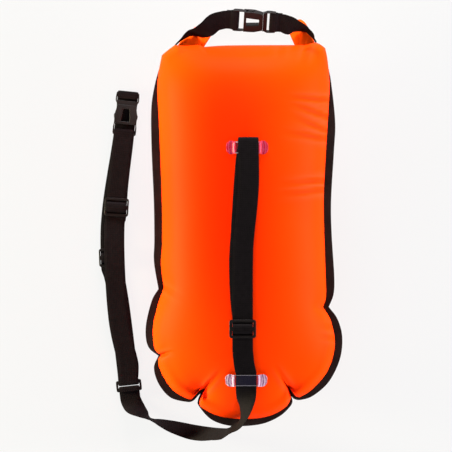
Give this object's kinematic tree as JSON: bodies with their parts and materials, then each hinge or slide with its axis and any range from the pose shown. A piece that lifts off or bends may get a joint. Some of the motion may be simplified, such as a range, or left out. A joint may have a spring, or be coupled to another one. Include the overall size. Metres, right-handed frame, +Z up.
{
  "type": "open water swim buoy",
  "caption": "Inflatable orange swim buoy and dry bag with a rolled, buckled top, welded black edge, tow strap, strap sliders and a buckled waist belt.",
  "frame": {"origin": "on the flat patch of the back panel that the buoy rests on", "axes": "+Z up out of the front panel, +Y along the bag towards its rolled top, +X to the bag's side away from the belt"},
  "size_m": [0.2994, 0.5307, 0.1613],
  "materials": {
    "orange_coated_fabric": "coated woven nylon, soft sheen",
    "black_webbing": "woven strap, matte",
    "black_weld_tape": "welded edge tape, matte",
    "black_plastic": "moulded plastic, satin",
    "clear_film": "clear film with a pink cast, glossy",
    "valve_plastic": "moulded soft plastic, satin"
  },
  "bodies": {
    "bag": {"back_chamber": "orange_coated_fabric", "belt_junction": "black_plastic", "belt_webbing": "black_webbing", "dry_pouch": "orange_coated_fabric", "front_chamber": "orange_coated_fabric", "handle_buckle_female": "black_plastic", "handle_webbing_left": "black_webbing", "handle_webbing_right": "black_webbing", "lower_loop": "clear_film", "mouth_stiffener": "black_plastic", "roll_end_left": "orange_coated_fabric", "roll_end_right": "orange_coated_fabric", "rolled_mouth": "orange_coated_fabric", "seam_flange": "black_weld_tape", "tether_webbing": "black_webbing", "upper_loop": "clear_film", "valve_base_left": "valve_plastic", "valve_base_right": "valve_plastic", "valve_flap_left": "black_plastic", "valve_flap_right": "black_plastic", "waist_buckle_female": "black_plastic"},
    "handle_male": {"handle_buckle_male": "black_plastic"},
    "handle_prong_a": {"handle_buckle_prong_a": "black_plastic"},
    "handle_prong_b": {"handle_buckle_prong_b": "black_plastic"},
    "waist_male": {"waist_buckle_male": "black_plastic"},
    "waist_prong_a": {"waist_buckle_prong_a": "black_plastic"},
    "waist_prong_b": {"waist_buckle_prong_b": "black_plastic"},
    "tether_slider": {"tether_slider": "black_plastic"},
    "belt_slider_front": {"belt_slider_front": "black_plastic"},
    "belt_slider_back": {"belt_slider_back": "black_plastic"},
    "valve_cap_left": {"valve_cap_left": "valve_plastic"},
    "valve_cap_right": {"valve_cap_right": "valve_plastic"}
  },
  "joints": [
    {"name": "handle_buckle_release", "type": "slide", "parent": "bag", "child": "handle_male", "axis": [0.9981, -0.061, 0], "range_m": [0, 0.028], "deforming": ["handle_webbing_right", "handle_buckle_prong_a", "handle_buckle_prong_b"]},
    {"name": "handle_prong_a_squeeze", "type": "hinge", "parent": "handle_male", "child": "handle_prong_a", "pos_m": [0.01746, 0.26953, 0.08612], "axis": [-0.0314, -0.5141, 0.8572], "range_deg": [0, 17], "stiffness_Nm_per_rad": 0.12},
    {"name": "handle_prong_b_squeeze", "type": "hinge", "parent": "handle_male", "child": "handle_prong_b", "pos_m": [0.01662, 0.25585, 0.07788], "axis": [-0.0314, -0.5141, 0.8572], "range_deg": [-17, 0], "stiffness_Nm_per_rad": 0.12},
    {"name": "waist_buckle_release", "type": "slide", "parent": "bag", "child": "waist_male", "axis": [0.0993, 0.9951, 0], "range_m": [0, 0.028], "deforming": ["belt_webbing", "waist_buckle_prong_a", "waist_buckle_prong_b"]},
    {"name": "waist_prong_a_squeeze", "type": "hinge", "parent": "waist_male", "child": "waist_prong_a", "pos_m": [-0.15819, 0.16191, 0.0087], "axis": [0, 0, 1], "range_deg": [0, 17], "stiffness_Nm_per_rad": 0.12},
    {"name": "waist_prong_b_squeeze", "type": "hinge", "parent": "waist_male", "child": "waist_prong_b", "pos_m": [-0.14229, 0.16032, 0.0087], "axis": [0, 0, 1], "range_deg": [-17, 0], "stiffness_Nm_per_rad": 0.12},
    {"name": "tether_slider_slide", "type": "slide", "parent": "bag", "child": "tether_slider", "axis": [0, 0.9996, 0.0297], "range_m": [-0.015, 0.12], "deforming": ["tether_webbing"]},
    {"name": "belt_slider_front_slide", "type": "slide", "parent": "bag", "child": "belt_slider_front", "axis": [0.061, 0.9981, 0], "range_m": [-0.03, 0.04], "deforming": ["belt_webbing"]},
    {"name": "belt_slider_back_slide", "type": "slide", "parent": "bag", "child": "belt_slider_back", "axis": [-0.0349, 0.9994, 0], "range_m": [-0.04, 0.04], "deforming": ["belt_webbing"]},
    {"name": "valve_cap_left_hinge", "type": "hinge", "parent": "bag", "child": "valve_cap_left", "pos_m": [-0.09417, 0.15408, 0.02045], "axis": [0, 0.9997, 0.025], "range_deg": [0, 110]},
    {"name": "valve_cap_right_hinge", "type": "hinge", "parent": "bag", "child": "valve_cap_right", "pos_m": [0.09382, 0.1541, 0.03482], "axis": [0, -1, -0.0022], "range_deg": [0, 110]}
  ],
  "couplings": [
    {"joint": "handle_prong_b_squeeze", "follows": "handle_prong_a_squeeze", "ratio": -1},
    {"joint": "waist_prong_b_squeeze", "follows": "waist_prong_a_squeeze", "ratio": -1}
  ]
}
